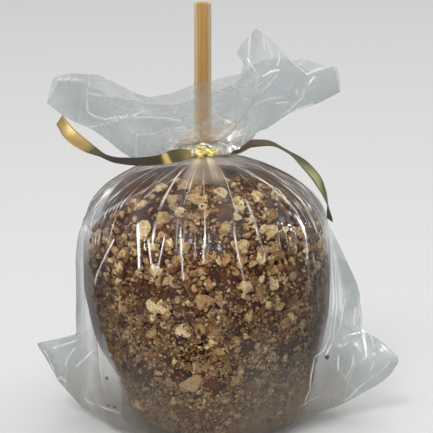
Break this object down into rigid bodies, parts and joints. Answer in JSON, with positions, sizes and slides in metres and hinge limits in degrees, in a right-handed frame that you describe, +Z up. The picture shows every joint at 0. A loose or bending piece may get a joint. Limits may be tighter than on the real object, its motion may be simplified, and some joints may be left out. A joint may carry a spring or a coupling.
{
  "type": "caramel apple",
  "caption": "Apple dipped in caramel and rolled in chopped nuts, on a wooden stick, in a clear bag gathered at the neck with curling ribbon.",
  "frame": {"origin": "middle of the flat base that the bag rests on, on the axis of the stick", "axes": "+Z up along the stick, +X to the right and -Y towards the viewer of the front"},
  "size_m": [0.1357, 0.0935, 0.156],
  "materials": {
    "film": "clear glossy film, crinkled and pleated",
    "caramel": "glossy sticky caramel, red-brown where thick",
    "nuts": "matte chopped nuts, cream to tan, with darker skins",
    "wood": "plain dowel with fine lengthwise grain",
    "gold": "shiny metallic gold curling ribbon"
  },
  "bodies": {
    "root": {"bag": "film", "stick": "wood", "ribbon": "gold"}
  },
  "joints": []
}
